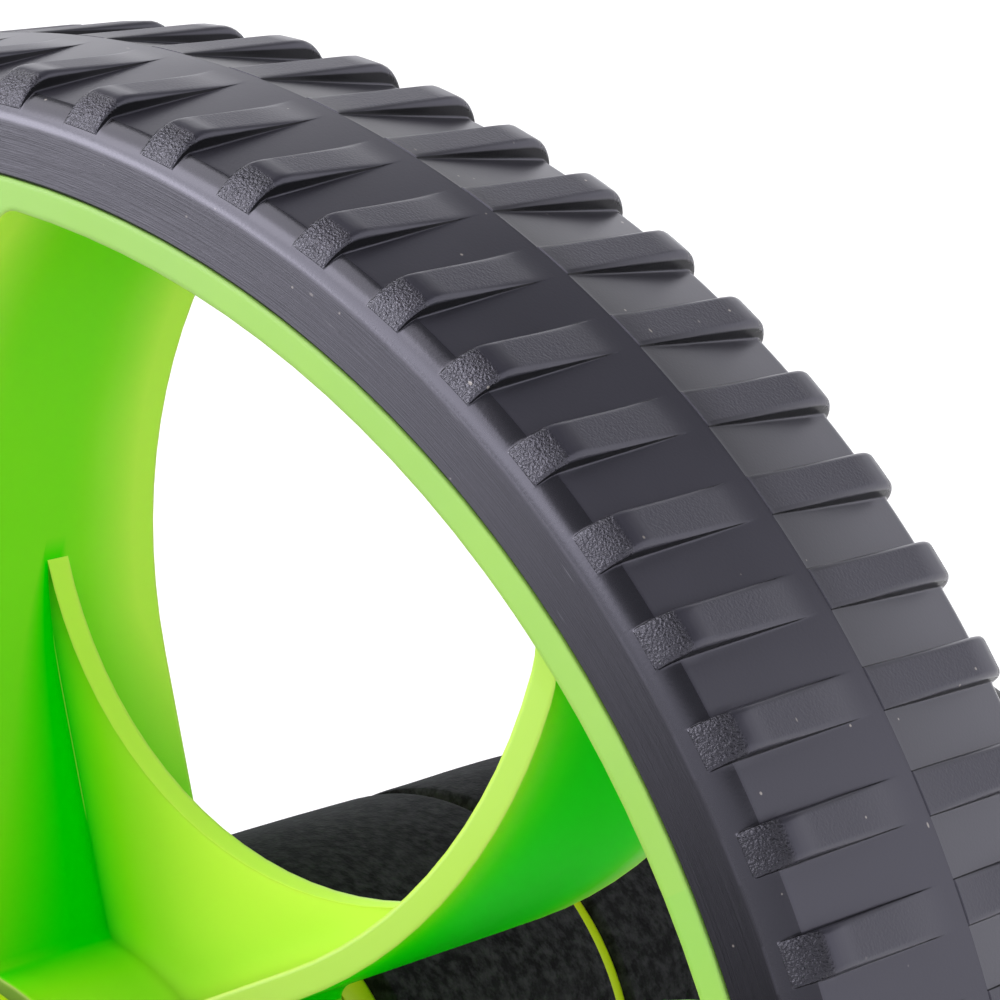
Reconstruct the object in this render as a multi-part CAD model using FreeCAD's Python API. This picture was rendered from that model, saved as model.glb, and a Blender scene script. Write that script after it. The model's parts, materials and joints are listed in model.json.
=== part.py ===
"""Single-wheel exercise roller: a lugged tyre on a moulded hub that turns on an axle between two foam grips.

Millimetres. The origin is the wheel's centre, +Y runs along the axle, +Z is up.
Left is the +Y side and right is the -Y side.
"""
import FreeCAD, Part
import math
import os

from FreeCAD import Vector

os.makedirs("parts", exist_ok=True)

# Tyre
tread_radius = 90.0
tread_width = 34.8
tyre_depth = 8.0
lug_count = 72
lug_width = 3.24
lug_draft_deg = 6.0
lug_end_round = 3.6
lug_end_inset = 0.2
lip_drop = 2.8
lip_round = 0.8
panel_crest_drop = 0.15
panel_edge_drop = 1.8
panel_edge_inset = 1.8
tyre_fit = 0.05

# Hub
rim_wall = 2.25
rim_rib_height = 0.8
rim_rib_width = 6.0
petal_count = 5
petal_angle_deg = 63.2
petal_half_width = 27.4
petal_shoulder = 17.75
petal_tip_gap = 3.0
petal_foot_half = 4.2
blade_wall = 2.3
blade_recess = 6.4
blade_flare = 16.0
pocket_corner_round = 2.0
gap_corner_round = 0.9
boss_radius = 20.0
boss_length = 28.0
boss_pocket_round = 1.5
boss_gap_round = 1.2
boss_skin = 3.0
boss_tube_wall = 3.0
boss_core_depth = 10.0
web_thickness = 2.3
web_span = 9.9
web_edge_radius = 30.5

# Bearing
axle_radius = 6.0
running_clearance = 0.05
bush_wall = 1.95
bush_length = 11.0
bush_flange_width = 2.5
bush_flange_thickness = 1.2
press_clearance = 0.02
end_play = 0.4
thrust_washer_width = 4.5
thrust_washer_thickness = 0.6

# Grip
collar_radius = 19.5
collar_thickness = 3.2
core_radius = 14.0
core_skin = 2.0
core_tube_wall = 2.5
core_rib_count = 6
core_rib_thickness = 2.0
slip_clearance = 0.05
foam_count = 3
foam_length = 25.5
foam_radius = 21.8
foam_crown = 0.1
foam_end_drop = 0.9
foam_end_round = 2.2
foam_end_bulge = 0.25
ring_radius = 20.4
ring_width = 2.3

# Grip's end
cap_length = 22.4
cap_edge_round = 5.0
cap_wall = 3.0
cap_spigot_length = 4.0
cap_spigot_wall = 1.8
cap_socket = 7.0
axle_recess = 0.3
screw_radius = 2.5
screw_length = 12.0
screw_head_radius = 5.0
screw_head_height = 3.8
screw_socket_radius = 2.0
screw_socket_depth = 2.2
retaining_washer_width = 6.8
retaining_washer_thickness = 1.4
thread_clearance = 0.02

# Places that follow from the sizes above
half_width = tread_width / 2
rim_outer = tread_radius - tyre_depth
rim_inner = rim_outer - rim_wall
blade_edge = half_width - blade_recess
boss_half = boss_length / 2
petal_tip = boss_radius + petal_tip_gap
petal_centre = rim_inner - petal_shoulder
petal_half_length = petal_centre - petal_tip
petal_radius = (petal_half_length ** 2 + petal_half_width ** 2) / (2 * petal_half_width)
petal_offset = petal_radius - petal_half_width
web_edge_centre = petal_tip + web_span + web_edge_radius
bush_bore = axle_radius + running_clearance
bush_outer = bush_bore + bush_wall
bush_flange_radius = bush_outer + bush_flange_width
hub_bore = bush_outer + press_clearance
washer_start = boss_half + end_play
core_start = washer_start + thrust_washer_thickness
foam_start = core_start + collar_thickness
foam_pitch = foam_length + ring_width
core_end = foam_start + foam_count * foam_pitch - ring_width
core_wall_end = core_end - cap_socket
core_bore = axle_radius + slip_clearance
core_tube_inner = core_radius - core_skin
axle_end = core_wall_end - axle_recess
retaining_washer_end = core_wall_end + retaining_washer_thickness
cap_end = core_end + cap_length

AXLE = Vector(0, 1, 0)
OVERSHOOT = 1.0
SIDES = {"left": 1, "right": -1}


def cylinder(radius, low, high, x=0.0, z=0.0):
    """Solid cylinder along Y, from low to high."""
    return Part.makeCylinder(radius, high - low, Vector(x, low, z), AXLE)


def tube(outer, inner, low, high):
    """Plain tube along Y."""
    return cylinder(outer, low, high).cut(cylinder(inner, low - OVERSHOOT, high + OVERSHOOT))


def point(radius, along):
    """Point of a half section: distance from the axis and place along it."""
    return Vector(radius, along, 0)


def line(start, end):
    return Part.LineSegment(start, end).toShape()


def arc(start, middle, end):
    return Part.Arc(start, middle, end).toShape()


def polyline(points):
    """Edges through the points, in order."""
    return [line(a, b) for a, b in zip(points, points[1:])]


def turned(edges, degrees=360.0):
    """Solid of revolution about Y, from the edges of its half section on +X, all round or as a sector."""
    return Part.Face(Part.Wire(edges)).revolve(Vector(0, 0, 0), AXLE, degrees)


def spun(shape, degrees):
    """Copy of a shape, turned about the axle from +X towards +Z."""
    copy = shape.copy()
    copy.rotate(Vector(0, 0, 0), AXLE, -degrees)
    return copy


def sided(shape, side):
    """A shape made on the +Y side, or its copy turned half round to the -Y side."""
    copy = shape.copy()
    if SIDES[side] < 0:
        copy.rotate(Vector(0, 0, 0), Vector(0, 0, 1), 180)
    return copy


def across(place):
    """Mirror image of a place, over the plane of the X axis and the axle."""
    return Vector(place.x, place.y, -place.z)


def quarter_arc(centre, start, end):
    """Arc between two points at one distance from the centre, the short way."""
    middle = (start + end) * 0.5 - centre
    middle.normalize()
    return arc(start, centre + middle * (start - centre).Length, end)


def save(name, shape):
    """Write one node."""
    assert shape.isValid(), name
    shape.exportStep("parts/" + name + ".step")
    print(name, len(shape.Solids), "solid(s)", round(shape.Volume / 1000, 2), "cm3")


def make_tyre():
    """Ring with ridged panels, a rounded lip at each side and lugs right across it."""
    bore = rim_outer + tyre_fit
    groove = bore + rim_rib_height
    groove_half = rim_rib_width / 2 + tyre_fit
    lip = tread_radius - lip_drop
    crest = tread_radius - panel_crest_drop
    edge = tread_radius - panel_edge_drop
    edge_along = half_width - panel_edge_inset
    lip_foot = lip - lip_round
    lip_along = half_width - lip_round

    edges = polyline([
        point(lip_foot, half_width), point(bore, half_width),
        point(bore, groove_half), point(groove, groove_half),
        point(groove, -groove_half), point(bore, -groove_half),
        point(bore, -half_width), point(lip_foot, -half_width)])
    right_corner = point(lip_foot, -lip_along)
    left_corner = point(lip_foot, lip_along)
    edges.append(quarter_arc(right_corner, point(lip_foot, -half_width), point(lip, -lip_along)))
    edges.append(line(point(lip, -lip_along), point(edge, -edge_along)))
    edges += polyline([point(edge, -edge_along), point(crest, 0), point(edge, edge_along)])
    edges.append(line(point(edge, edge_along), point(lip, lip_along)))
    edges.append(quarter_arc(left_corner, point(lip, lip_along), point(lip_foot, half_width)))
    ring = turned(edges)

    lug_foot = (bore + lip) / 2
    end_centre = tread_radius - lug_end_round
    lug_half = half_width - lug_end_inset
    top_half = lug_half - lug_end_round
    right_end = point(end_centre, -lug_half)
    right_top = point(tread_radius, -top_half)
    left_end = point(end_centre, lug_half)
    left_top = point(tread_radius, top_half)
    edges = polyline([left_end, point(lug_foot, lug_half), point(lug_foot, -lug_half), right_end])
    edges.append(quarter_arc(point(end_centre, -top_half), right_end, right_top))
    edges.append(line(right_top, left_top))
    edges.append(quarter_arc(point(end_centre, top_half), left_top, left_end))
    envelope = turned(edges)

    top = lug_width / 2
    spread = math.tan(math.radians(lug_draft_deg))
    low = lug_foot - OVERSHOOT
    high = tread_radius + OVERSHOOT
    low_half = top + (tread_radius - low) * spread
    high_half = top - OVERSHOOT * spread
    outline = [Vector(low, -half_width, -low_half), Vector(high, -half_width, -high_half),
               Vector(high, -half_width, high_half), Vector(low, -half_width, low_half)]
    bar = Part.Face(Part.makePolygon(outline + outline[:1])).extrude(AXLE * tread_width)
    lug = bar.common(envelope)
    pitch = 360.0 / lug_count
    lugs = [spun(lug, (index + 0.5) * pitch) for index in range(lug_count)]
    return ring.multiFuse(lugs).removeSplitter()


def pocket(offset, half_height):
    """Prism of the petal on +X, or of its outline set outwards: two arcs, then straight walls to the boss."""
    radius = petal_radius + offset
    centre = Vector(petal_centre, 0, -petal_offset)
    foot = Vector(boss_radius - OVERSHOOT, 0, petal_foot_half)
    reach = foot - centre
    turn = math.atan2(reach.z, reach.x) - math.acos(petal_radius / reach.Length)
    out = Vector(math.cos(turn), 0, math.sin(turn))
    top = centre + Vector(0, 0, radius)
    touch = centre + out * radius
    foot = foot + out * offset
    tip = Vector(petal_centre + math.sqrt(radius ** 2 - petal_offset ** 2), 0, 0)
    edges = [line(foot, touch), arc(touch, top, tip), arc(tip, across(top), across(touch)),
             line(across(touch), across(foot)), line(across(foot), foot)]
    face = Part.Face(Part.Wire(edges))
    face.translate(AXLE * -half_height)
    return face.extrude(AXLE * (2 * half_height))


def petals(shape):
    """Copies of a shape made for the petal on +X, one for each petal."""
    pitch = 360.0 / petal_count
    return [spun(shape, petal_angle_deg + index * pitch) for index in range(petal_count)]


def upright_edges(shape, radius):
    """Straight edges along Y at one distance from the axle."""
    found = []
    for edge in shape.Edges:
        ends = [vertex.Point for vertex in edge.Vertexes]
        if len(ends) == 2 and edge.Curve.TypeId == "Part::GeomLine":
            along = abs(ends[0].y - ends[1].y)
            distance = math.hypot(ends[0].x, ends[0].z)
            if abs(along - edge.Length) < 1e-6 and abs(distance - radius) < 1e-4:
                found.append(edge)
    return found


def petal_angle_of(edge):
    """Angle between an upright edge and the long axis of the nearest petal."""
    spot = edge.Vertexes[0].Point
    pitch = 360.0 / petal_count
    angle = math.degrees(math.atan2(spot.z, spot.x)) - petal_angle_deg
    return abs((angle + pitch / 2) % pitch - pitch / 2)


def rounded(shape, radius, pocket_round, gap_round):
    """A shape whose upright edges at one distance from the axle are rounded, in petals and between them."""
    angles = [petal_angle_of(edge) for edge in upright_edges(shape, radius)]
    middle = (min(angles) + max(angles)) / 2
    shape = shape.makeFillet(pocket_round, [edge for edge in upright_edges(shape, radius)
                                            if petal_angle_of(edge) < middle])
    return shape.makeFillet(gap_round, [edge for edge in upright_edges(shape, radius)
                                        if petal_angle_of(edge) > middle])


def make_web():
    """Thin plate at the mid-plane in the foot of the petal on +X, with a hollow curved edge."""
    half = web_thickness / 2
    plate = pocket(blade_wall / 2, half).common(cylinder(petal_centre, -half, half))
    return plate.cut(cylinder(web_edge_radius, -half - OVERSHOOT, half + OVERSHOOT, web_edge_centre))


def make_hub():
    """Rim, paired blades, webs and boss in one moulding."""
    loops = Part.makeCompound(petals(pocket(blade_wall, half_width)))
    loops = loops.common(cylinder(rim_inner + rim_wall / 2, -half_width, half_width))
    loops = loops.cut(Part.makeCompound(petals(pocket(0.0, half_width + OVERSHOOT))))
    boss = cylinder(boss_radius, -half_width, half_width)
    rim = tube(rim_outer, rim_inner, -half_width, half_width)
    rib_half = rim_rib_width / 2
    rib = tube(rim_outer + rim_rib_height, rim_inner + rim_wall / 2, -rib_half, rib_half)
    body = boss.multiFuse([loops, rim, rib]).removeSplitter()
    body = rounded(body, boss_radius, boss_pocket_round, boss_gap_round)
    body = rounded(body, rim_inner, pocket_corner_round, gap_corner_round)

    # Each blade is level with the rim on one side of the wheel and recessed on the other
    above = half_width + OVERSHOOT
    step = rim_inner - blade_recess
    half_pitch = 180.0 / petal_count
    recess = turned([
        line(point(boss_radius, blade_edge), point(step, blade_edge)),
        quarter_arc(point(step, half_width), point(step, blade_edge), point(rim_inner, half_width)),
        line(point(rim_inner, half_width), point(rim_inner, above)),
        line(point(rim_inner, above), point(boss_radius, above)),
        line(point(boss_radius, above), point(boss_radius, blade_edge))], half_pitch)
    recess = spun(recess, half_pitch)
    opposite = recess.copy()
    opposite.rotate(Vector(0, 0, 0), Vector(1, 0, 0), 180)
    body = body.cut(Part.makeCompound(petals(recess))).cut(Part.makeCompound(petals(opposite)))
    flare_end = boss_radius + blade_flare
    boss_end = turned(polyline([
        point(0, boss_half), point(boss_radius, boss_half), point(flare_end, half_width),
        point(flare_end, above), point(0, above), point(0, boss_half)]))
    for side in SIDES:
        body = body.cut(sided(boss_end, side))
    body = body.multiFuse(petals(make_web()))

    core = tube(boss_radius - boss_skin, hub_bore + bush_flange_width + boss_tube_wall,
                boss_half - boss_core_depth, boss_half + OVERSHOOT)
    seat = cylinder(bush_flange_radius + press_clearance, boss_half - bush_flange_thickness,
                    boss_half + OVERSHOOT)
    bore = cylinder(hub_bore, -boss_half - OVERSHOOT, boss_half + OVERSHOOT)
    cuts = [bore]
    for side in SIDES:
        cuts.append(sided(core, side))
        cuts.append(sided(seat, side))
    return body.cut(Part.makeCompound(cuts)).removeSplitter()


def make_bush():
    """Flanged plain bearing, flush with the end of the boss."""
    sleeve = tube(bush_outer, bush_bore, boss_half - bush_length, boss_half)
    flange = tube(bush_flange_radius, bush_bore, boss_half - bush_flange_thickness, boss_half)
    return sleeve.fuse(flange).removeSplitter()


def make_axle():
    """Round bar, tapped at both ends."""
    bar = cylinder(axle_radius, -axle_end, axle_end)
    hole_radius = screw_radius + thread_clearance
    hole_start = retaining_washer_end - screw_length - OVERSHOOT
    hole = cylinder(hole_radius, hole_start, axle_end + OVERSHOOT)
    return bar.cut(hole).cut(sided(hole, "right"))


def make_core():
    """Moulded sleeve: collar, skin, inner tube on the axle and ribs between them."""
    inner_tube = core_bore + core_tube_wall
    skin = cylinder(core_radius, core_start, core_end)
    collar = cylinder(collar_radius, core_start, foam_start)
    body = skin.fuse(collar).cut(cylinder(core_bore, core_start - OVERSHOOT, core_end + OVERSHOOT))
    body = body.cut(cylinder(core_tube_inner, core_wall_end, core_end + OVERSHOOT))
    hollow = tube(core_tube_inner, inner_tube, foam_start, core_wall_end + OVERSHOOT)
    for index in range(core_rib_count):
        rib = Part.makeBox(core_radius, core_end, core_rib_thickness,
                           Vector(0, foam_start, -core_rib_thickness / 2))
        hollow = hollow.cut(spun(rib, index * 360.0 / core_rib_count))
    return body.cut(hollow).removeSplitter()


def make_foam(start):
    """One foam section: a sleeve with rounded ends and a slightly crowned side."""
    end = start + foam_length
    bore = core_radius + slip_clearance
    side = foam_radius - foam_crown
    end_radius = foam_radius - foam_end_drop
    turn = (side + end_radius) / 2 + foam_end_bulge
    near = arc(point(end_radius, start), point(turn, start + foam_end_round / 2 - foam_end_bulge),
               point(side, start + foam_end_round))
    far = arc(point(side, end - foam_end_round), point(turn, end - foam_end_round / 2 + foam_end_bulge),
              point(end_radius, end))
    crown = arc(point(side, start + foam_end_round), point(foam_radius, (start + end) / 2),
                point(side, end - foam_end_round))
    return turned([line(point(bore, start), point(end_radius, start)), near, crown, far]
                  + polyline([point(end_radius, end), point(bore, end), point(bore, start)]))


def make_cap():
    """Hollow end cap with a rounded edge and a spigot that is pressed into the core."""
    spigot = core_tube_inner - press_clearance
    hollow = spigot - cap_spigot_wall
    spigot_start = core_end - cap_spigot_length
    edge_start = cap_end - cap_edge_round
    crown = foam_radius - cap_edge_round
    edges = polyline([
        point(0, cap_end), point(0, cap_end - cap_wall),
        point(hollow, cap_end - cap_wall), point(hollow, spigot_start),
        point(spigot, spigot_start), point(spigot, core_end),
        point(foam_radius, core_end), point(foam_radius, edge_start)])
    edges.append(quarter_arc(point(crown, edge_start), point(foam_radius, edge_start), point(crown, cap_end)))
    edges.append(line(point(crown, cap_end), point(0, cap_end)))
    return turned(edges)


def make_screw():
    """Socket-head screw in the end of the axle; its thread is left plain."""
    shank = cylinder(screw_radius, retaining_washer_end - screw_length, retaining_washer_end)
    head_end = retaining_washer_end + screw_head_height
    head = cylinder(screw_head_radius, retaining_washer_end, head_end)
    corners = [Vector(screw_socket_radius * math.cos(turn), head_end - screw_socket_depth,
                      screw_socket_radius * math.sin(turn))
               for turn in [math.radians(60 * index) for index in range(7)]]
    socket = Part.Face(Part.makePolygon(corners)).extrude(AXLE * (screw_socket_depth + OVERSHOOT))
    return shank.fuse(head).cut(socket).removeSplitter()


save("tyre", make_tyre())
save("hub", make_hub())
save("axle", make_axle())

bush = make_bush()
thrust_washer = tube(bush_bore + thrust_washer_width, bush_bore, washer_start, core_start)
grip_core = make_core()
end_cap = make_cap()
foam_names = ["inner", "middle", "outer"]
for side in SIDES:
    save("bush_" + side, sided(bush, side))
    save("thrust_washer_" + side, sided(thrust_washer, side))
    save("grip_core_" + side, sided(grip_core, side))
    save("end_cap_" + side, sided(end_cap, side))
    for index in range(foam_count):
        foam = make_foam(foam_start + index * foam_pitch)
        save("foam_" + side + "_" + foam_names[index], sided(foam, side))
    for index in range(foam_count - 1):
        ring_start = foam_start + foam_length + index * foam_pitch
        ring = tube(ring_radius, core_radius + slip_clearance, ring_start, ring_start + ring_width)
        save("spacer_ring_" + side + "_" + foam_names[index], sided(ring, side))

retaining_washer = tube(screw_radius + slip_clearance + retaining_washer_width, screw_radius + slip_clearance,
                        core_wall_end, retaining_washer_end)
screw = make_screw()
save("retaining_washers", Part.makeCompound([sided(retaining_washer, side) for side in SIDES]))
save("retaining_screws", Part.makeCompound([sided(screw, side) for side in SIDES]))
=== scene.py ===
"""Looks of a single-wheel exercise roller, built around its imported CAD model. Metres, in the CAD frame."""
import json
import math

import bpy
import numpy as np
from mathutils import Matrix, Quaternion, Vector, noise


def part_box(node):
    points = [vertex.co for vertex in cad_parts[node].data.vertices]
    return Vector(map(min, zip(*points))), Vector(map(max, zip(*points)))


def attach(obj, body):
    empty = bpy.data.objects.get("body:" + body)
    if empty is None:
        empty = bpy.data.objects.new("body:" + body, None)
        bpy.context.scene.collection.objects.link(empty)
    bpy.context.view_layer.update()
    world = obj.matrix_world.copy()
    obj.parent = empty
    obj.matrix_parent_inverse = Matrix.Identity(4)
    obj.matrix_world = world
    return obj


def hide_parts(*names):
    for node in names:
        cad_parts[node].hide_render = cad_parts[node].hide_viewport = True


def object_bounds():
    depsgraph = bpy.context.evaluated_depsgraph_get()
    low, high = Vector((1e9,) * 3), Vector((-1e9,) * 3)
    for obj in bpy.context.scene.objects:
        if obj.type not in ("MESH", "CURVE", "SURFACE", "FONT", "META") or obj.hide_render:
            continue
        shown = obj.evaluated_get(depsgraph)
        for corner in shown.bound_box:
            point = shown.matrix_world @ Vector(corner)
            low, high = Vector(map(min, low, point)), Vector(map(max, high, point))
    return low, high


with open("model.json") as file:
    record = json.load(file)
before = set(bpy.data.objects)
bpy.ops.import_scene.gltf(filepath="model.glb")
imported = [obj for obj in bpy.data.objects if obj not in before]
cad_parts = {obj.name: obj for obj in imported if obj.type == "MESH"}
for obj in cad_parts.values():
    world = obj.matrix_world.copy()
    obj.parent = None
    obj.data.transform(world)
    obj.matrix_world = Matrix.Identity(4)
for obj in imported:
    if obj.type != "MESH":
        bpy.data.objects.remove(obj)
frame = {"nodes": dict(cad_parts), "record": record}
cad_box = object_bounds()

MM = 0.001
ALONG_AXLE = (0.0, 1.0, 0.0)
ACROSS_AXLE = (1.0, 0.0, 1.0)
UPWARDS = (0.0, 0.0, 1.0)

# Camera, as in the photograph
CAMERA_PLACE = (0.25525, -0.26449, 0.11765)
CAMERA_TARGET = (0.0336, 0.0122, 0.0552)
CAMERA_ROLL_DEG = -0.604
CAMERA_LENS_MM = 171.86
CAMERA_SHIFT_UP = 0.002
SENSOR_MM = 36.0

# Tyre, in millimetres and degrees: the solid's main sizes, and those of finer forms
TREAD_RADIUS = 90.0
BORE_RADIUS = 82.05
BORE_EDGE = 0.2
BORE_TO = 5.0
HALF_WIDTH = 17.4
LUG_COUNT = 72
LUG_HALF = 1.62
LUG_TOP_ROUND = 0.55
LUG_FOOT_ROUND = 0.2
LUG_DRAFT_DEG = 6.0
LUG_HEIGHT = 1.35
LUG_END_ROUND = 3.6
LUG_TOP_LENGTH = 13.6
LUG_END_TURN_DEG = 82.0
LIP_START_DEG = 20.0
LIP_ROUND = 2.74
PANEL_CREST = {"right": 90.0, "left": 89.85}
LUG_TOP = {"right": 89.7, "left": 90.0}
PANEL_EDGE = 88.2
PANEL_EDGE_AT = 15.6
PARTING_DEPTH = 0.06
PARTING_HALF = 0.12

# Rows of the tyre's mesh from the middle of the tread, and its columns from the middle of a lug
TREAD_ROWS = [PARTING_HALF, 0.5] + [1.2 * step for step in range(1, 12)]
PANEL_END_ROWS = (14.2, 14.8, 15.3, PANEL_EDGE_AT - 0.03)
LUG_END_ROWS_DEG = (21, 30, 40, 50)
LIP_ROWS_DEG = (58, 64, 70, 76)
LIP_FOOT_ROWS_DEG = (83, 90)
SIDEWALL_ROWS = (85.2, 84.5, 83.7, 82.9, 82.25)
SHOULDER_ROW_COUNT = 2
LUG_FLAT_SHARE = 0.6
LUG_ROUND_DEG = range(0, 91, 15)
LUG_FOOT_SHARES = (0.15, 0.45, 1.0)
PANEL_COLUMNS = [2.3, 3.1]
CREASE_DEG = 20.0
FACE_WEIGHT = 60

# Limits of the marks on the tyre: a lug's rise and length, in millimetres, and shares of its height
RAISED_FROM = 0.1
LUG_GRAIN_RISE = 0.6
LUG_GRAIN_TO = 12.6
TOP_SHARE = 0.97
END_SHARE = 0.5
FLANK_SHARES = (0.1, 0.6)

# Foam, in millimetres and degrees: the solids' main sizes, fuller ends and an uneven skin
FOAM_BORE = 14.05
FOAM_RADIUS = 21.8
FOAM_CROWN = 0.1
FOAM_END_DROP = 0.3
FOAM_END_ROUND = 2.2
FOAM_EDGE_BACK = 0.1
FOAM_LUMP = 0.12
FOAM_LUMP_SIZE = 9.0
FOAM_BORE_ROW = 2.5
FOAM_FACE_ROWS = ((1.4, 0.0), (0.4, 0.03))
FOAM_ROUND_DEG = range(0, 91, 10)
FOAM_SIDE_ROWS = 12
FOAM_COLUMNS = 160

# Hub, in millimetres and degrees, from the sizes of the solid
BLADE_EDGE = 11.0
PETAL_COUNT = 5
PETAL_ANGLE_DEG = 63.2
PETAL_FOOT = (19.0, 4.2)
PETAL_WALL_DEG = 39.6
WEB_HALF = 1.15
WEB_INSIDE = 29.5
WEB_OUTSIDE = 50.7

# Floor: its side, in metres, and its points along a side
FLOOR_SIZE = 14.0
FLOOR_POINTS = 9

# Colours, linear
RUBBER_DARK = (0.017, 0.0165, 0.022, 1)
RUBBER_PALE = (0.024, 0.023, 0.031, 1)
RUBBER_TOP = (0.035, 0.034, 0.044, 1)
FLANK_SHADE = (0.006, 0.006, 0.007, 1)
SIDE_DARK = (0.003, 0.003, 0.0036, 1)
SIDE_PALE = (0.007, 0.0068, 0.0083, 1)
RUBBER_GLOSS = (0.84, 0.82, 1.0, 1)
SCRATCH = (0.10, 0.10, 0.11, 1)
DUST = (0.42, 0.38, 0.34, 1)
LIME_DEEP = (0.0, 0.61, 0.0, 1)
LIME_MID = (0.22, 0.65, 0.007, 1)
LIME_PALE = (0.50, 0.77, 0.065, 1)
LIME_WEB = (0.42, 0.63, 0.045, 1)
LIME_RIM = (0.205, 0.385, 0.066, 1)
LIME_BAND = (0.305, 0.485, 0.062, 1)
LIME_HIGHLIGHT = (0.63, 0.84, 0.10, 1)
RING_PALE = (0.62, 0.78, 0.008, 1)
RING_DEEP = (0.16, 0.30, 0.0, 1)
FOAM_DARK = (0.002, 0.002, 0.0023, 1)
FOAM_PALE = (0.028, 0.0275, 0.030, 1)
FOAM_SHEEN = (0.8, 0.85, 1.0, 1)
CAP_DARK = (0.010, 0.010, 0.011, 1)
CAP_PALE = (0.020, 0.020, 0.022, 1)
NYLON_WARM = (0.62, 0.59, 0.50, 1)
NYLON_COOL = (0.72, 0.71, 0.66, 1)
STEEL_DARK = (0.36, 0.36, 0.38, 1)
STEEL_PALE = (0.62, 0.62, 0.64, 1)
FLOOR_PALE = (0.94, 0.94, 0.95, 1)
FLOOR_WHITE = (0.97, 0.97, 0.97, 1)

# Patterns: the middle range of a noise, the middle stop of a ramp, and the shape of specks and edges
NOISE_RANGE = (0.3, 0.7)
RAMP_MIDDLE = 0.45
SPECK_CORE = 0.6
SPECK_SOFT = 0.01
EDGE_BEND = (0.82, 0.98)

# Sockets of a mix node: its two values and its result
MIX_SOCKETS = {"RGBA": (6, 7, 2), "FLOAT": (2, 3, 0), "VECTOR": (4, 5, 1)}

# Rubber: roughness and gloss, as pairs where they change over the surface
# Direction, in the wheel's own frame, towards which the painted highlight in the gloss is strongest
HIGHLIGHT_TOWARDS = (0.342, 0.0, 0.940)
SIDE_LEAN = 0.10
SCRATCH_SHARE = 0.5
ROUGH_PANEL = (0.29, 0.36)
ROUGH_TOP = 0.48
ROUGH_END = 0.20
ROUGH_LIP = 0.24
ROUGH_SIDE = (0.34, 0.48)
GLOSS_NEAR = 0.80
GLOSS_FAR = 0.85
GLOSS_TOP = 0.60
GLOSS_FLANK = 0.15
GLOSS_END = (0.50, 1.0)
GLOSS_LIP = (0.20, 0.95)
GLOSS_SIDE = (0.02, 0.66)
DULL_HIGH = (0.10, 0.65)
DULL_WIDTH_MM = (1.0, 13.0)
HALVES_MEET_MM = (-0.5, 0.5)

# Hub's looks: where one runs into the next, in millimetres
POCKET_REACH = 24.0
EDGE_ROUND = 0.6
CORNER_ROUND = 4.0
RIM_SKIN = (80.0, 80.5)
BOSS_SKIN = (22.0, 24.0)
GLOW_ALONG = (3.0, (HALF_WIDTH + BLADE_EDGE) / 2)
GLOW_REACH = (26.0, 44.0)
VALLEY_LEAST = 0.1
VALLEY_SIDE = (0.0, 1.0)
VALLEY_END = (0.96 * WEB_OUTSIDE, WEB_OUTSIDE)
WEB_FADE = 5.5
WEB_EDGE_DEPTH = (0.98 * WEB_HALF, 1.1 * WEB_HALF)
WEB_EDGE_INSIDE = (0.97 * WEB_INSIDE, 1.03 * WEB_INSIDE)
WEB_EDGE_OUTSIDE = (0.985 * WEB_OUTSIDE, 1.015 * WEB_OUTSIDE)
FACE_DEPTH = (0.9 * BLADE_EDGE, 0.99 * BLADE_EDGE)
FACE_GLOSS_DEPTH = (0.5 * BLADE_EDGE, 0.9 * BLADE_EDGE)
RIM_DEPTH = (1.05 * BLADE_EDGE, 0.98 * HALF_WIDTH)
BORDER_REACH = (79.0, 80.0)
BORDER_DEPTH = (1.5 * WEB_HALF, 2.0 * WEB_HALF)

# Hub's looks: where a blade changes sides, the valley's slope, and strengths outside and inside a petal
BLADE_TURN = 0.33
VALLEY_SLOPE = 0.36
GLOW_OUTSIDE = 0.6
GLOW_INSIDE = 1.06
WALL_OUTSIDE = 0.01
WALL_INSIDE = 0.38
WEB_EDGE_SHARE = 0.9
BORDER_SHARE = 0.5

# Light: the sky's colours and the heights between which it darkens
SKY_PALE = (1.22, 1.22, 1.26, 1)
SKY_DARK = (0.24, 0.24, 0.26, 1)
SKY_PALE_TO = 0.46
SKY_DARK_FROM = 0.64

# Suns: the direction towards each, its strength, its angle in degrees and its colour
SUNS = {
    "key": ((-0.35, -0.30, 0.88), 1.5, 60.0, (1.0, 0.99, 0.97)),
    "front": ((-0.25, -0.75, 0.61), 1.4, 50.0, (1.0, 0.99, 1.0)),
    "side": ((-0.74, -0.67, 0.08), 2.4, 44.0, (1.0, 0.99, 1.0)),
    "back": ((-0.45, 0.75, 0.48), 0.1, 40.0, (0.98, 0.98, 1.0)),
}


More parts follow.
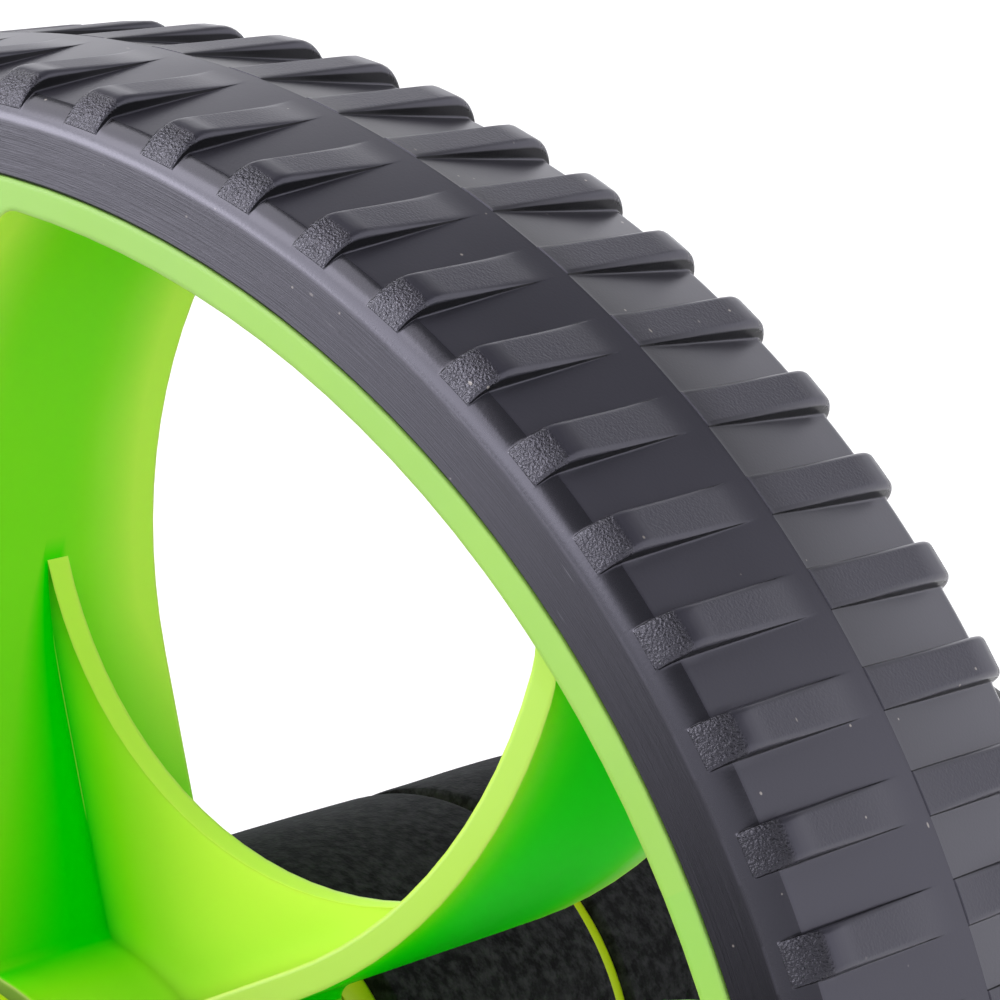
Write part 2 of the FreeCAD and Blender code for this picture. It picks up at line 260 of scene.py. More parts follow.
class Graph:
    """A material and short ways to add nodes to it."""

    def __init__(self, name):
        self.material = bpy.data.materials.new(name)
        self.material.use_nodes = True
        self.tree = self.material.node_tree
        self.shader = self.tree.nodes["Principled BSDF"]

    def put(self, socket, value):
        """A socket as value is linked, anything else is set."""
        if isinstance(value, bpy.types.NodeSocket):
            self.tree.links.new(value, socket)
        else:
            socket.default_value = value

    def node(self, kind, settings, inputs):
        made = self.tree.nodes.new(kind)
        for name, value in settings.items():
            setattr(made, name, value)
        for name, value in inputs.items():
            self.put(made.inputs[name], value)
        return made

    def shade(self, **inputs):
        for name, value in inputs.items():
            self.put(self.shader.inputs[name.replace("_", " ")], value)

    def place(self):
        """Coordinates of the object, in metres."""
        return self.node("ShaderNodeTexCoord", {}, {}).outputs["Object"]

    def normal(self):
        """Normal of the surface, in the frame of the object."""
        return self.node("ShaderNodeTexCoord", {}, {}).outputs["Normal"]

    def uv(self):
        return self.node("ShaderNodeTexCoord", {}, {}).outputs["UV"]

    def attribute(self, name):
        return self.node("ShaderNodeAttribute", {"attribute_name": name}, {}).outputs["Fac"]

    def math(self, operation, *values):
        made = self.node("ShaderNodeMath", {"operation": operation}, dict(enumerate(values)))
        return made.outputs["Value"]

    def chain(self, operation, values):
        """One operation over several numbers, from the first to the last."""
        result = values[0]
        for value in values[1:]:
            result = self.math(operation, result, value)
        return result

    def times(self, *values):
        return self.chain("MULTIPLY", values)

    def most(self, *values):
        return self.chain("MAXIMUM", values)

    def less(self, first, second):
        return self.math("SUBTRACT", first, second)

    def size_of(self, value):
        return self.math("ABSOLUTE", value)

    def vector(self, operation, first, second=None):
        """Result of a vector sum: a number for a length or a dot product, else a vector."""
        made = self.node("ShaderNodeVectorMath", {"operation": operation}, {0: first})
        if second is not None:
            self.put(made.inputs[1], second)
        return made.outputs["Value" if operation in ("LENGTH", "DOT_PRODUCT") else "Vector"]

    def parts_of(self, vector):
        """The three numbers of a vector."""
        return self.node("ShaderNodeSeparateXYZ", {}, {"Vector": vector}).outputs

    def stretch(self, vector, scale):
        return self.node("ShaderNodeMapping", {}, {"Vector": vector, "Scale": scale}).outputs["Vector"]

    def span(self, value, low, high, to_low=0.0, to_high=1.0):
        return self.node("ShaderNodeMapRange", {}, {
            "Value": value, "From Min": low, "From Max": high,
            "To Min": to_low, "To Max": to_high}).outputs["Result"]

    def span_mm(self, value, limits, to_low=0.0, to_high=1.0):
        """As span, between two limits in millimetres."""
        return self.span(value, limits[0] * MM, limits[1] * MM, to_low, to_high)

    def spread(self, value, to_low=0.0, to_high=1.0):
        """As span, over the middle range of a noise."""
        return self.span(value, *NOISE_RANGE, to_low, to_high)

    def between(self, kind, factor, first, second):
        """Mix of two colours, numbers or vectors."""
        first_at, second_at, result_at = MIX_SOCKETS[kind]
        made = self.node("ShaderNodeMix", {"data_type": kind}, {
            "Factor": factor, first_at: first, second_at: second})
        return made.outputs[result_at]

    def mix(self, factor, first, second):
        """Mix of two colours."""
        return self.between("RGBA", factor, first, second)

    def blend(self, factor, first, second):
        """Mix of two numbers."""
        return self.between("FLOAT", factor, first, second)

    def ramp(self, factor, first, middle, last):
        """Colours that run through three stops."""
        lower = self.mix(self.span(factor, 0.0, RAMP_MIDDLE), first, middle)
        return self.mix(self.span(factor, RAMP_MIDDLE, 1.0), lower, last)

    def noise(self, vector, scale, detail=2.0, roughness=0.5):
        return self.node("ShaderNodeTexNoise", {}, {
            "Vector": vector, "Scale": scale, "Detail": detail, "Roughness": roughness}).outputs["Fac"]

    def cells(self, vector, scale):
        """Random pattern of cells: the distance from the middle of each, and its colour."""
        return self.node("ShaderNodeTexVoronoi", {}, {"Vector": vector, "Scale": scale}).outputs

    def specks(self, vector, scale, radius, share):
        """Scattered dots, as a share of the cells of a random pattern."""
        cells = self.cells(vector, scale)
        pick = self.span(self.parts_of(cells["Color"])["X"], share, share + SPECK_SOFT, 1.0, 0.0)
        dots = self.span(cells["Distance"], radius * SPECK_CORE, radius, 1.0, 0.0)
        return self.times(dots, pick)

    def facing(self):
        """How squarely the surface looks along the axle, from 0 to 1."""
        return self.size_of(self.parts_of(self.normal())["Y"])

    def openness(self, reach):
        """How much of the sky the surface sees past its own object, from 0 to 1."""
        return self.node("ShaderNodeAmbientOcclusion", {"samples": 12, "only_local": True},
                         {"Distance": reach}).outputs["AO"]

    def bump(self, height, distance, strength=1.0, normal=None, invert=False):
        inputs = {"Height": height, "Distance": distance, "Strength": strength}
        if normal is not None:
            inputs["Normal"] = normal
        return self.node("ShaderNodeBump", {"invert": invert}, inputs).outputs["Normal"]

    def moulded(self, place, normal):
        """Normals with the faint unevenness of a moulded skin."""
        uneven = self.noise(place, scale=420.0, detail=3.0)
        return self.bump(uneven, distance=0.00005, strength=0.25, normal=normal)

    def rounded(self, radius):
        """Normals that run smoothly over sharp edges."""
        return self.node("ShaderNodeBevel", {"samples": 6}, {"Radius": radius}).outputs["Normal"]

    def edges(self, rounded):
        """Where rounded normals differ from those of the plain surface, from 0 to 1."""
        plain = self.node("ShaderNodeNewGeometry", {}, {}).outputs["Normal"]
        return self.span(self.vector("DOT_PRODUCT", rounded, plain), *EDGE_BEND, 1.0, 0.0)


def rubber_material():
    """Moulded rubber: grained ribs, smooth panels, brushed sidewalls, fine dust, with painted shade on
    flanks, lips and lug ends and painted highlights in its gloss.
    """
    graph = Graph("tread_rubber")
    place = graph.place()
    uv = graph.uv()
    top = graph.attribute("rib_top")
    end = graph.attribute("rib_end")
    flank = graph.attribute("rib_flank")
    lip = graph.attribute("lip")
    side = graph.attribute("sidewall")

    cloud = graph.noise(place, scale=60.0, detail=4.0)
    grain = graph.noise(place, scale=4200.0)
    coarse = graph.noise(place, scale=5200.0)
    brush = graph.noise(graph.stretch(uv, (0.06, 9.0, 1.0)), scale=1.0, detail=4.0, roughness=0.6)
    scratch = graph.noise(graph.stretch(uv, (0.35, 5.0, 1.0)), scale=0.45, detail=1.0)
    scratch = graph.times(graph.span(scratch, 0.72, 0.78), side)

    colour = graph.mix(graph.spread(cloud), RUBBER_DARK, RUBBER_PALE)
    colour = graph.mix(top, colour, RUBBER_TOP)
    # Flanks, lips and lug ends take a darker colour of the same rubber: painted shade
    colour = graph.mix(graph.most(flank, lip, end), colour, FLANK_SHADE)
    colour = graph.mix(side, colour, graph.mix(graph.spread(brush), SIDE_DARK, SIDE_PALE))
    colour = graph.mix(graph.times(scratch, SCRATCH_SHARE), colour, SCRATCH)
    patches = graph.span(graph.noise(place, scale=45.0, detail=1.0), 0.35, 0.60, 0.15, 0.85)
    dust = graph.specks(place, scale=420.0, radius=0.060, share=0.45)
    fibre = graph.specks(graph.stretch(uv, (0.22, 0.5, 1.0)), scale=1.0, radius=0.055, share=0.20)
    dust = graph.most(graph.times(dust, patches), graph.times(fibre, patches))
    colour = graph.mix(dust, colour, DUST)

    rough = graph.spread(cloud, *ROUGH_PANEL)
    rough = graph.blend(top, rough, ROUGH_TOP)
    rough = graph.blend(end, rough, ROUGH_END)
    rough = graph.blend(lip, rough, ROUGH_LIP)
    rough = graph.blend(side, rough, graph.spread(brush, *ROUGH_SIDE))

    # Sidewalls are shaded as if they faced a little away from the axle
    fine = graph.bump(grain, distance=0.00012, strength=graph.blend(top, 0.05, 0.40))
    rib = graph.bump(coarse, distance=0.0002, strength=end, normal=fine)
    lean = graph.vector("LENGTH", graph.vector("MULTIPLY", place, (SIDE_LEAN, 0.0, SIDE_LEAN)))
    leaning = graph.bump(lean, distance=1.0, strength=side, normal=rib, invert=True)
    brushed = graph.bump(brush, distance=0.0002, strength=graph.times(side, 0.35), normal=leaning)

    # Painted highlight and shade in the gloss: far panels are duller near the top of the wheel and flanks
    # dull, while ends, lips and sidewalls are glossier towards one side of the wheel
    along = graph.parts_of(place)["Y"]
    round_wheel = graph.vector("NORMALIZE", graph.vector("MULTIPLY", place, ACROSS_AXLE))
    painted_highlight = graph.vector("DOT_PRODUCT", round_wheel, HIGHLIGHT_TOWARDS)
    high = graph.span(graph.vector("DOT_PRODUCT", round_wheel, UPWARDS), 0.40, 0.72, *DULL_HIGH)
    dull = graph.times(high, graph.span_mm(along, DULL_WIDTH_MM, 1.0, 0.0))
    gloss = graph.blend(graph.span_mm(along, HALVES_MEET_MM), GLOSS_NEAR, graph.less(GLOSS_FAR, dull))
    gloss = graph.blend(top, gloss, GLOSS_TOP)
    gloss = graph.blend(end, gloss, graph.span(painted_highlight, 0.75, 0.95, *GLOSS_END))
    gloss = graph.blend(flank, gloss, GLOSS_FLANK)
    gloss = graph.blend(lip, gloss, graph.span(painted_highlight, 0.5, 0.9, *GLOSS_LIP))
    gloss = graph.blend(side, gloss, graph.span(painted_highlight, 0.55, 0.95, *GLOSS_SIDE))
    graph.shade(Base_Color=colour, Roughness=rough, Normal=brushed)
    graph.shade(Specular_IOR_Level=gloss, Specular_Tint=RUBBER_GLOSS)
    return graph.material


def lime_material():
    """Satin translucent moulding, with painted light and shade: a painted glow where it is thin or faces the
    light, painted shade of deep green in its pockets.
    """
    graph = Graph("lime_plastic")
    place = graph.place()
    parts = graph.parts_of(place)
    depth = graph.size_of(parts["Y"])
    spoke = graph.vector("MULTIPLY", place, ACROSS_AXLE)
    reach = graph.vector("LENGTH", spoke)
    outward = graph.vector("DOT_PRODUCT", graph.vector("NORMALIZE", spoke), graph.normal())
    flat = graph.most(graph.span(graph.facing(), 0.75, 0.95), graph.span_mm(reach, RIM_SKIN))
    open_sky = graph.openness(POCKET_REACH * MM)
    cloud = graph.spread(graph.noise(place, scale=40.0, detail=3.0), 0.92, 1.08)
    small_round = graph.rounded(EDGE_ROUND * MM)

    # Distance along the axle from the middle of a blade, which lies to one side of the wheel's middle
    turn = graph.less(graph.math("ARCTAN2", parts["Z"], parts["X"]), math.radians(PETAL_ANGLE_DEG))
    pitch = 2 * math.pi / PETAL_COUNT
    turn = graph.math("WRAP", turn, pitch / 2, -pitch / 2)
    side = graph.math("SINE", graph.times(turn, PETAL_COUNT))
    shift = (HALF_WIDTH - BLADE_EDGE) / 2 * MM
    aside = graph.span(side, -BLADE_TURN, BLADE_TURN, -shift, shift)
    across = graph.size_of(graph.math("ADD", parts["Y"], aside))

    # Walls of the blades: a painted glow, pale towards their edges, most of all inside a petal
    glow = graph.math("POWER", graph.span_mm(across, GLOW_ALONG), 2.0)
    glow = graph.times(glow, graph.span_mm(reach, GLOW_REACH))
    round_axle = graph.vector("NORMALIZE", graph.vector("CROSS_PRODUCT", ALONG_AXLE, spoke))
    inward = graph.times(graph.vector("DOT_PRODUCT", round_axle, graph.normal()), side)
    inside = graph.span(inward, -0.1, 0.1)
    glow = graph.times(glow, graph.blend(inside, graph.times(glow, GLOW_OUTSIDE), GLOW_INSIDE))
    wall = graph.math("ADD", glow, graph.blend(inside, WALL_OUTSIDE, WALL_INSIDE))

    # Painted shade: inside a petal they are deep green beside the web's near face, lower towards its outer
    # end, and darker where the surface sees less sky
    valley_top = graph.times(graph.less(WEB_OUTSIDE * MM, reach), VALLEY_SLOPE)
    above_web = graph.less(graph.times(parts["Y"], -1.0), WEB_HALF * MM)
    valley = graph.math("DIVIDE", above_web, graph.most(valley_top, VALLEY_LEAST * MM))
    beyond = graph.most(graph.span_mm(parts["Y"], VALLEY_SIDE), graph.span_mm(reach, VALLEY_END))
    valley = graph.most(graph.span(valley, 0.35, 1.2), beyond)
    lit = graph.times(graph.span(open_sky, 0.50, 0.76), valley)
    lit = graph.blend(inside, graph.span(open_sky, 0.25, 0.55), lit)
    wall = graph.times(wall, cloud, lit)
    boss = graph.times(graph.span(outward, 0.80, 0.95), graph.span_mm(reach, BOSS_SKIN, 1.0, 0.0))

    # Distance over the web from the straight foot of a blade's wall; the web is painted in deep green shade
    # near that foot, paler away from it
    slope = math.radians(PETAL_WALL_DEG)
    ahead = graph.less(graph.times(reach, graph.math("COSINE", turn)), PETAL_FOOT[0] * MM)
    aloft = graph.less(graph.times(reach, graph.math("SINE", turn)), PETAL_FOOT[1] * MM)
    away = graph.less(graph.times(ahead, math.sin(slope)), graph.times(aloft, math.cos(slope)))
    fade = graph.math("POWER", math.e, graph.times(away, -1 / (WEB_FADE * MM)))
    web = graph.ramp(graph.less(1.0, fade), LIME_DEEP, LIME_MID, LIME_WEB)
    walls = graph.ramp(wall, LIME_DEEP, LIME_MID, LIME_PALE)
    colour = graph.mix(graph.most(flat, boss), walls, web)

    # Faces of blades and rim, and painted highlights along edges
    outer = graph.times(flat, graph.span_mm(depth, FACE_DEPTH))
    face = graph.mix(graph.span_mm(depth, RIM_DEPTH), LIME_BAND, LIME_RIM)
    colour = graph.mix(graph.times(outer, cloud), colour, face)
    web_edge = graph.times(graph.span(outward, 0.12, 0.20), graph.span_mm(depth, WEB_EDGE_DEPTH, 1.0, 0.0))
    web_edge = graph.times(web_edge, graph.span_mm(reach, WEB_EDGE_INSIDE),
                           graph.span_mm(reach, WEB_EDGE_OUTSIDE, 1.0, 0.0))
    border = graph.times(graph.span(open_sky, 0.62, 0.80, 0.0, BORDER_SHARE),
                         graph.span_mm(reach, BORDER_REACH, 1.0, 0.0), graph.span_mm(depth, BORDER_DEPTH))
    pale = graph.most(graph.times(web_edge, WEB_EDGE_SHARE), graph.times(graph.edges(small_round), border))
    colour = graph.mix(pale, colour, LIME_HIGHLIGHT)

    # Corners between walls and webs run into each other softly
    corner = graph.span(open_sky, 0.45, 0.75, 1.0, 0.0)
    soft = graph.between("VECTOR", corner, small_round, graph.rounded(CORNER_ROUND * MM))
    normal = graph.moulded(place, graph.vector("NORMALIZE", soft))
    rough = graph.spread(graph.noise(place, scale=90.0, detail=4.0), 0.28, 0.38)
    # Gloss follows the painted light and shade of the walls, lowest in their deep green
    gloss = graph.span(wall, 0.15, 0.60, 0.004, 0.08)
    gloss = graph.blend(flat, gloss, graph.span_mm(depth, FACE_GLOSS_DEPTH, 0.03, 0.40))
    graph.shade(Base_Color=colour, Roughness=rough, Normal=normal, Specular_IOR_Level=gloss)
    graph.shade(Subsurface_Weight=0.06, Subsurface_Radius=(0.6, 1.0, 0.1), Subsurface_Scale=0.0015)
    return graph.material


def ring_material():
    """Yellow-green moulding of the grip's core and rings, olive where it is shaded."""
    graph = Graph("grip_plastic")
    place = graph.place()
    open_sky = graph.openness(0.012)
    cloud = graph.noise(place, scale=50.0, detail=3.0)
    colour = graph.mix(graph.span(open_sky, 0.25, 0.85), RING_DEEP, RING_PALE)
    colour = graph.mix(graph.span(cloud, 0.35, 0.65, 0.0, 0.12), colour, RING_DEEP)
    normal = graph.moulded(place, graph.rounded(0.0003))
    graph.shade(Base_Color=colour, Normal=normal, Roughness=graph.spread(cloud, 0.32, 0.42))
    return graph.material


def foam_material():
    """Closed-cell foam: mottled, finely grained and dull, with a soft sheen."""
    graph = Graph("grip_foam")
    place = graph.place()
    mottle = graph.noise(place, scale=900.0, detail=4.0, roughness=0.65)
    patch = graph.noise(place, scale=140.0, detail=3.0)
    colour = graph.mix(graph.span(mottle, 0.40, 0.66), FOAM_DARK, FOAM_PALE)
    colour = graph.mix(graph.span(patch, 0.40, 0.75, 0.0, 0.3), colour, FOAM_PALE)
    cells = graph.cells(place, scale=2800.0)["Distance"]
    uneven = graph.bump(mottle, distance=0.00022, strength=0.2)
    normal = graph.bump(cells, distance=0.00016, strength=0.25, normal=uneven)
    graph.shade(Base_Color=colour, Normal=normal, Roughness=graph.spread(mottle, 0.82, 0.96))
    graph.shade(Specular_IOR_Level=0.08, Sheen_Weight=0.03, Sheen_Roughness=0.4, Sheen_Tint=FOAM_SHEEN)
    return graph.material


def cap_material():
    """Matt black moulding with a spark-eroded grain."""
    graph = Graph("cap_plastic")
    place = graph.place()
    grain = graph.noise(place, scale=2600.0, detail=3.0, roughness=0.6)
    cloud = graph.noise(place, scale=70.0, detail=3.0)
    colour = graph.mix(graph.span(cloud, 0.35, 0.65), CAP_DARK, CAP_PALE)
    normal = graph.bump(grain, distance=0.0001, strength=0.35, normal=graph.rounded(0.0004))
    graph.shade(Base_Color=colour, Normal=normal, Roughness=graph.spread(grain, 0.42, 0.58))
    return graph.material


def nylon_material():
    """Off-white nylon with flow marks."""
    graph = Graph("bush_plastic")
    flow = graph.noise(graph.stretch(graph.place(), (300.0, 60.0, 300.0)), scale=1.0, detail=3.0)
    colour = graph.mix(graph.spread(flow), NYLON_WARM, NYLON_COOL)
    normal = graph.bump(flow, distance=0.00005, strength=0.3, normal=graph.rounded(0.0002))
    graph.shade(Base_Color=colour, Normal=normal, Roughness=graph.spread(flow, 0.34, 0.46))
    return graph.material


def steel_material():
    """Turned steel, with marks that run round the axle."""
    graph = Graph("steel")
    place = graph.stretch(graph.place(), (90.0, 5200.0, 90.0))
    marks = graph.noise(place, scale=1.0, detail=3.0, roughness=0.6)
    colour = graph.mix(graph.spread(marks), STEEL_DARK, STEEL_PALE)
    normal = graph.bump(marks, distance=0.00004, strength=0.3, normal=graph.rounded(0.0002))
    graph.shade(Base_Color=colour, Metallic=1.0, Normal=normal, Roughness=graph.spread(marks, 0.24, 0.42))
    return graph.material


def floor_material():
    """Plain pale sweep."""
    graph = Graph("floor_paper")
    cloud = graph.noise(graph.place(), scale=3.0, detail=3.0)
    graph.shade(Base_Color=graph.mix(cloud, FLOOR_PALE, FLOOR_WHITE), Roughness=0.9, Specular_IOR_Level=0.1)
    return graph.material


def dress(obj, material):
    obj.data.materials.clear()
    obj.data.materials.append(material)


def mesh_object(name, points, faces):
    mesh = bpy.data.meshes.new(name)
    mesh.from_pydata(points, [], faces)
    mesh.shade_smooth()
    obj = bpy.data.objects.new(name, mesh)
    bpy.context.collection.objects.link(obj)
    return obj


def grid_faces(rows, columns):
    """Quads of a grid that closes on itself both ways."""
    faces = []
    for row in range(rows):
        for column in range(columns):
            here = row * columns + column
            ahead = (column + 1) % columns
            above = ((row + 1) % rows) * columns
            faces.append((here, row * columns + ahead, above + ahead, above + column))
    return faces


def lug_foot():
    """Distance from the middle of a lug to the foot of its flank."""
    return LUG_HALF + (LUG_HEIGHT - LUG_TOP_ROUND - LUG_FOOT_ROUND) * math.tan(math.radians(LUG_DRAFT_DEG))


def lug_share(across):
    """Height of a lug's section at a distance from its middle, as a share of its full height."""
    top_end = LUG_HALF - LUG_TOP_ROUND
    foot = lug_foot()
    if across <= top_end:
        return 1.0
    if across <= LUG_HALF:
        drop = LUG_TOP_ROUND - math.sqrt(max(0.0, LUG_TOP_ROUND ** 2 - (across - top_end) ** 2))
        return 1.0 - drop / LUG_HEIGHT
    if across <= foot:
        part = (across - LUG_HALF) / (foot - LUG_HALF)
        return ((LUG_HEIGHT - LUG_TOP_ROUND) * (1 - part) + LUG_FOOT_ROUND * part) / LUG_HEIGHT
    if across <= foot + LUG_FOOT_ROUND:
        run = foot + LUG_FOOT_ROUND - across
        return (LUG_FOOT_ROUND - math.sqrt(max(0.0, LUG_FOOT_ROUND ** 2 - run ** 2))) / LUG_HEIGHT
    return 0.0


def panel_radius(along, side):
    """Slope of the panels between the lugs."""
    crest = PANEL_CREST[side]
    return crest - (crest - PANEL_EDGE) * along / PANEL_EDGE_AT


def lip_place(turn_deg):
    """Place on the round shoulder, which ends on the sidewall at 90 degrees."""
    start = math.radians(LIP_START_DEG)
    turn = math.radians(turn_deg)
    return (PANEL_EDGE + LIP_ROUND * (math.cos(turn) - math.cos(start)),
            HALF_WIDTH - LIP_ROUND * (1 - math.sin(turn)))


def lug_end_place(turn_deg, side):
    """Place on the rounded end of a lug, from its top at 0 degrees."""
    turn = math.radians(turn_deg)
    return (LUG_TOP[side] - LUG_END_ROUND * (1 - math.cos(turn)),
            LUG_TOP_LENGTH + LUG_END_ROUND * math.sin(turn))


def tyre_section(side):
    """Half section from beside the middle of the tread to the bore.

    Each row has a place on the panel, a place on the lug, and what it is: tread, shoulder or end of a lug,
    lip, sidewall or bore.
    """
    rows = []
    for along in TREAD_ROWS:
        radius = panel_radius(along, side)
        rows.append(((radius, along), (max(radius, LUG_TOP[side]), along), "tread"))
    panel = [(panel_radius(along, side), along) for along in PANEL_END_ROWS]
    panel += [lip_place(turn) for turn in LUG_END_ROWS_DEG]
    for step, place in enumerate(panel, start=1):
        kind = "end" if step > SHOULDER_ROW_COUNT else "shoulder"
        turn = LUG_END_TURN_DEG * step / (len(panel) + 1)
        rows.append((place, lug_end_place(turn, side), kind))
    flush = [(lip_place(turn), "lip") for turn in LIP_ROWS_DEG]
    flush += [(lip_place(turn), "sidewall") for turn in LIP_FOOT_ROWS_DEG]
    flush += [((radius, HALF_WIDTH), "sidewall") for radius in SIDEWALL_ROWS]
    flush.append(((BORE_RADIUS, HALF_WIDTH - BORE_EDGE), "sidewall"))
    flush.append(((BORE_RADIUS, BORE_TO), "bore"))
    return rows + [(place, place, kind) for place, kind in flush]


def lug_columns():
    """Distances from the middle of a lug at which its section is drawn, from its middle outwards."""
    top_end = LUG_HALF - LUG_TOP_ROUND
    foot = lug_foot()
    places = [0.0, LUG_FLAT_SHARE * top_end]
    places += [top_end + LUG_TOP_ROUND * math.sin(math.radians(turn)) for turn in LUG_ROUND_DEG]
    places += [(LUG_HALF + foot) / 2, foot]
    places += [foot + LUG_FOOT_ROUND * share for share in LUG_FOOT_SHARES]
    return places + PANEL_COLUMNS


def make_tyre():
    """Fine mesh of the tyre, with rounded lug edges, and what its material needs to know of each point."""
    right = [((panel[0], -panel[1]), (lug[0], -lug[1]), kind) for panel, lug, kind in tyre_section("right")]
    low = PANEL_CREST["left"] - PARTING_DEPTH
    rows = right[::-1] + [((low, 0.0), (low, 0.0), "tread")] + tyre_section("left")
    pitch = 2 * math.pi / LUG_COUNT
    pitch_mm = pitch * TREAD_RADIUS
    offsets = lug_columns()
    across = [-value for value in reversed(offsets[1:])] + offsets + [pitch_mm / 2]
    columns = []
    for index in range(LUG_COUNT):
        centre = (index + 0.5) * pitch
        for value in across:
            columns.append((centre + value / TREAD_RADIUS, lug_share(abs(value))))
    lengths = [0.0]
    for before, after in zip(rows, rows[1:]):
        lengths.append(lengths[-1] + math.dist(before[0], after[0]))

    points = []
    marks = {"rib_top": [], "rib_end": [], "rib_flank": [], "lip": [], "sidewall": []}
    flank_from, flank_to = FLANK_SHARES
    for panel, lug, kind in rows:
        lug_rise = lug[0] - panel[0]
        raised = kind in ("shoulder", "end") or kind == "tread" and lug_rise > RAISED_FROM
        grained = min(1.0, lug_rise / LUG_GRAIN_RISE)
        for angle, share in columns:
            radius = panel[0] + lug_rise * share
            along = panel[1] + (lug[1] - panel[1]) * share
            points.append((radius * math.cos(angle) * MM, along * MM, radius * math.sin(angle) * MM))
            topped = kind == "tread" and abs(along) < LUG_GRAIN_TO and share > TOP_SHARE
            low_lip = panel[0] < PANEL_EDGE and share < flank_from
            marks["rib_top"].append(grained if raised and topped else 0.0)
            marks["rib_flank"].append(1.0 if raised and flank_from < share < flank_to else 0.0)
            marks["rib_end"].append(share if kind == "end" and share > END_SHARE else 0.0)
            marks["lip"].append(1.0 if kind == "lip" or low_lip else 0.0)
            marks["sidewall"].append(1.0 if kind == "sidewall" else 0.0)
    obj = mesh_object("tyre_moulding", points, grid_faces(len(rows), len(columns)))
    for name, values in marks.items():
        layer = obj.data.attributes.new(name, "FLOAT", "POINT")
        layer.data.foreach_set("value", values)
    layer = obj.data.uv_layers.new(name="tread")
    width = len(columns)
    loops = np.empty(len(obj.data.loops), dtype=np.int32)
    obj.data.loops.foreach_get("vertex_index", loops)
    angles = np.array([angle for angle, share in columns])
    flat = np.stack([angles[loops % width] * TREAD_RADIUS, np.array(lengths)[loops // width]], axis=1)
    layer.data.foreach_set("uv", flat.astype(np.float32).ravel())
    obj.data.set_sharp_from_angle(angle=math.radians(CREASE_DEG))
    modifier = obj.modifiers.new("even_normals", "WEIGHTED_NORMAL")
    modifier.weight = FACE_WEIGHT
    modifier.keep_sharp = True
    return obj


def foam_section(length):
    """Section of one foam sleeve, from end to end: distance from the axle and place along it."""
    side = FOAM_RADIUS - FOAM_CROWN
    end = FOAM_RADIUS - FOAM_END_DROP
    rows = [(FOAM_BORE, 0.0), (FOAM_BORE + FOAM_BORE_ROW, 0.0)]
    rows += [(end - inside, back) for inside, back in FOAM_FACE_ROWS]
    for turn_deg in FOAM_ROUND_DEG:
        turn = math.radians(turn_deg)
        back = FOAM_EDGE_BACK + (FOAM_END_ROUND - FOAM_EDGE_BACK) * (1 - math.cos(turn))
        rows.append((end + (side - end) * math.sin(turn), back))
    middle = length / 2
    start = rows[-1][1]
    for step in range(1, FOAM_SIDE_ROWS + 1):
        along = start + (middle - start) * step / FOAM_SIDE_ROWS
        rows.append((FOAM_RADIUS - FOAM_CROWN * ((middle - along) / (middle - start)) ** 2, along))
    return rows + [(radius, length - along) for radius, along in reversed(rows[:-1])]


def make_foam(node):
    """Lathe-turned foam sleeve with a slightly uneven skin, in the place of its solid."""
    low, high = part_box(node)
    section = foam_section((high.y - low.y) / MM)
    points = []
    for radius, along in section:
        share = max(0.0, min(1.0, (radius - FOAM_BORE) / (FOAM_RADIUS - FOAM_END_DROP - FOAM_BORE)))
        for column in range(FOAM_COLUMNS):
            angle = 2 * math.pi * column / FOAM_COLUMNS
            spot = Vector((radius * math.cos(angle), along + low.y / MM, radius * math.sin(angle)))
            lump = noise.noise(spot / FOAM_LUMP_SIZE) * FOAM_LUMP * share
            reach = min(radius + lump, FOAM_RADIUS)
            points.append((reach * math.cos(angle) * MM, low.y + along * MM, reach * math.sin(angle) * MM))
    return mesh_object(node + "_sleeve", points, grid_faces(len(section), FOAM_COLUMNS))


def make_floor():
    """Flat square under the lowest point of the solids."""
    level = cad_box[0][2]
    places = [FLOOR_SIZE * (step / (FLOOR_POINTS - 1) - 0.5) for step in range(FLOOR_POINTS)]
    points = [(along, away, level) for away in places for along in places]
    faces = []
    for row in range(FLOOR_POINTS - 1):
        for column in range(FLOOR_POINTS - 1):
            here = row * FLOOR_POINTS + column
            faces.append((here, here + 1, here + FLOOR_POINTS + 1, here + FLOOR_POINTS))
    return mesh_object("floor", points, faces)


def add_sun(name, towards, strength, angle_deg, colour):
    """Soft distant light from the direction given."""
    light = bpy.data.lights.new(name, "SUN")
    light.energy = strength
    light.angle = math.radians(angle_deg)
    light.color = colour
    obj = bpy.data.objects.new(name, light)
    obj.rotation_euler = Vector(towards).to_track_quat("Z", "Y").to_euler()
    bpy.context.collection.objects.link(obj)


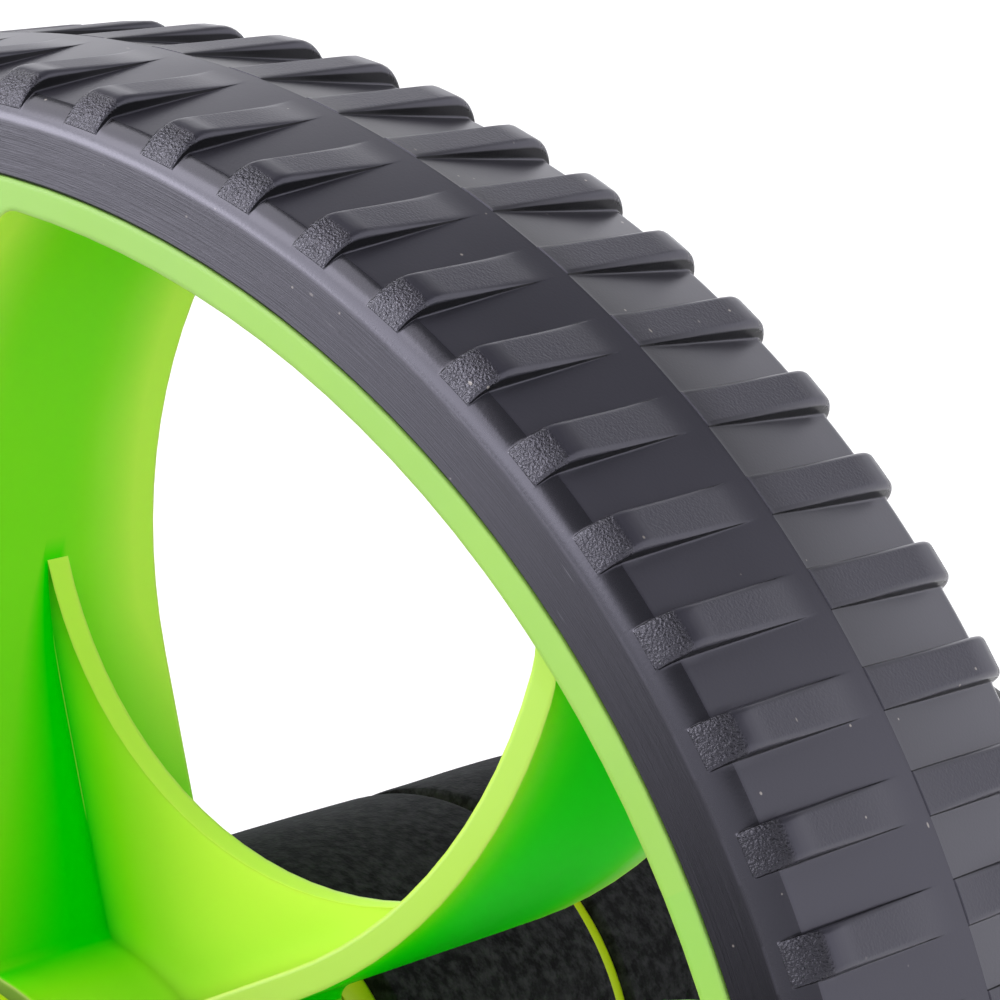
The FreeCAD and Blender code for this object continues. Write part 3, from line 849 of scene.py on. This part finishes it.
def add_camera():
    data = bpy.data.cameras.new("camera")
    data.lens = CAMERA_LENS_MM
    data.sensor_fit = "HORIZONTAL"
    data.sensor_width = SENSOR_MM
    data.shift_y = CAMERA_SHIFT_UP
    data.clip_start = 0.01
    data.clip_end = 50.0
    obj = bpy.data.objects.new("camera", data)
    look = Vector(CAMERA_TARGET) - Vector(CAMERA_PLACE)
    roll = Quaternion((0, 0, 1), math.radians(CAMERA_ROLL_DEG))
    obj.rotation_mode = "QUATERNION"
    obj.rotation_quaternion = look.to_track_quat("-Z", "Y") @ roll
    obj.location = CAMERA_PLACE
    bpy.context.collection.objects.link(obj)
    bpy.context.scene.camera = obj


def add_world():
    """Pale all round, darker overhead."""
    world = bpy.data.worlds.new("studio")
    world.use_nodes = True
    tree = world.node_tree
    background = tree.nodes["Background"]
    direction = tree.nodes.new("ShaderNodeTexCoord").outputs["Generated"]
    parts = tree.nodes.new("ShaderNodeSeparateXYZ")
    tree.links.new(direction, parts.inputs["Vector"])
    height = tree.nodes.new("ShaderNodeMapRange")
    height.interpolation_type = "SMOOTHSTEP"
    height.inputs["From Min"].default_value = SKY_PALE_TO
    height.inputs["From Max"].default_value = SKY_DARK_FROM
    tree.links.new(parts.outputs["Z"], height.inputs["Value"])
    blend = tree.nodes.new("ShaderNodeMix")
    blend.data_type = "RGBA"
    first_at, second_at, result_at = MIX_SOCKETS["RGBA"]
    blend.inputs[first_at].default_value = SKY_PALE
    blend.inputs[second_at].default_value = SKY_DARK
    tree.links.new(height.outputs["Result"], blend.inputs["Factor"])
    tree.links.new(blend.outputs[result_at], background.inputs["Color"])
    background.inputs["Strength"].default_value = 1.0
    bpy.context.scene.world = world


rubber = rubber_material()
foam = foam_material()
slot_materials = {
    "tread_rubber": rubber,
    "grip_foam": foam,
    "lime_plastic": lime_material(),
    "grip_plastic": ring_material(),
    "cap_plastic": cap_material(),
    "bush_plastic": nylon_material(),
    "steel": steel_material(),
}
for part in frame["record"]["subparts"]:
    dress(frame["nodes"][part["node"]], slot_materials[part["material_slot"]])

tyre = make_tyre()
dress(tyre, rubber)
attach(tyre, "wheel")
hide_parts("tyre")

for part in frame["record"]["subparts"]:
    if part["material_slot"] == "grip_foam":
        sleeve = make_foam(part["node"])
        dress(sleeve, foam)
        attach(sleeve, "handle")
        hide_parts(part["node"])

floor = make_floor()
dress(floor, floor_material())

add_world()
for name, (towards, strength, angle_deg, colour) in SUNS.items():
    add_sun(name, towards, strength, angle_deg, colour)
add_camera()
bpy.context.scene.view_settings.view_transform = "Standard"
